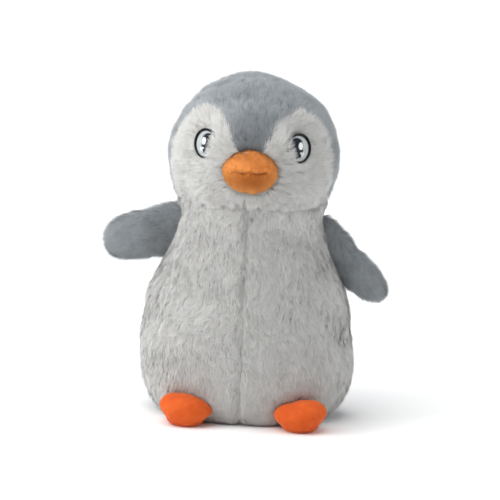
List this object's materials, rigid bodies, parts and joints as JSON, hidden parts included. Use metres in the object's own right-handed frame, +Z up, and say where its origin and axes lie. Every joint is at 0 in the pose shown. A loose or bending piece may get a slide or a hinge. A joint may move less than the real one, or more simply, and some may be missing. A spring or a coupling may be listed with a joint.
{
  "type": "plush penguin",
  "caption": "Stuffed plush penguin, standing on a flat weighted base, with a turning head, soft wings and padded feet.",
  "frame": {"origin": "centre of the flat base, on the surface that the toy stands on", "axes": "+Z up; the toy faces -Y; +X towards the toy's own left wing"},
  "size_m": [0.194, 0.1223, 0.2389],
  "materials": {
    "white_plush": "long soft pile",
    "grey_plush": "long soft pile",
    "orange_velour": "short nap velour",
    "stuffing": "loose polyester fibre",
    "pellet_cloth": "woven bag of plastic pellets",
    "clear_plastic": "clear, polished",
    "iris_film": "silver glitter film",
    "black_plastic": "black, polished",
    "washer_plastic": "natural"
  },
  "bodies": {
    "torso": {"belly_left": "white_plush", "belly_right": "white_plush", "back_left": "grey_plush", "back_right": "grey_plush", "base_panel": "white_plush", "body_stuffing": "stuffing", "pellet_bag": "pellet_cloth"},
    "neck": {"neck_stuffing": "stuffing"},
    "head": {"face_left": "white_plush", "face_right": "white_plush", "forehead_gusset": "grey_plush", "head_side_left": "grey_plush", "head_side_right": "grey_plush", "head_stuffing": "stuffing", "beak_upper": "orange_velour", "beak_lower": "orange_velour", "beak_stuffing": "stuffing", "eye_dome_left": "clear_plastic", "eye_dome_right": "clear_plastic", "eye_iris_left": "iris_film", "eye_iris_right": "iris_film", "eye_cup_left": "black_plastic", "eye_cup_right": "black_plastic", "eye_washer_left": "washer_plastic", "eye_washer_right": "washer_plastic"},
    "wing_left": {"wing_front_left": "grey_plush", "wing_back_left": "grey_plush", "wing_stuffing_left": "stuffing"},
    "foot_left": {"foot_upper_left": "orange_velour", "foot_sole_left": "orange_velour", "foot_stuffing_left": "stuffing"},
    "wing_right": {"wing_front_right": "grey_plush", "wing_back_right": "grey_plush", "wing_stuffing_right": "stuffing"},
    "foot_right": {"foot_upper_right": "orange_velour", "foot_sole_right": "orange_velour", "foot_stuffing_right": "stuffing"}
  },
  "joints": [
    {"name": "head_turn", "type": "hinge", "parent": "torso", "child": "neck", "pos_m": [0, 0, 0.146], "axis": [0, 0, 1], "range_deg": [-20, 20], "stiffness_Nm_per_rad": 0.4},
    {"name": "head_nod", "type": "hinge", "parent": "neck", "child": "head", "pos_m": [0, 0, 0.148], "axis": [1, 0, 0], "range_deg": [-12, 12], "stiffness_Nm_per_rad": 0.6},
    {"name": "wing_left_flap", "type": "hinge", "parent": "torso", "child": "wing_left", "pos_m": [0.0615, 0, 0.127], "axis": [0, -1, 0], "range_deg": [-2, 57], "stiffness_Nm_per_rad": 0.06},
    {"name": "wing_right_flap", "type": "hinge", "parent": "torso", "child": "wing_right", "pos_m": [-0.0615, 0, 0.127], "axis": [0, 1, 0], "range_deg": [-43, 15], "stiffness_Nm_per_rad": 0.06},
    {"name": "foot_left_flex", "type": "hinge", "parent": "torso", "child": "foot_left", "pos_m": [0.04, -0.037, 0.003], "axis": [-1, 0, 0], "range_deg": [0, 18], "stiffness_Nm_per_rad": 0.08},
    {"name": "foot_right_flex", "type": "hinge", "parent": "torso", "child": "foot_right", "pos_m": [-0.04, -0.037, 0.003], "axis": [-1, 0, 0], "range_deg": [0, 18], "stiffness_Nm_per_rad": 0.08}
  ]
}
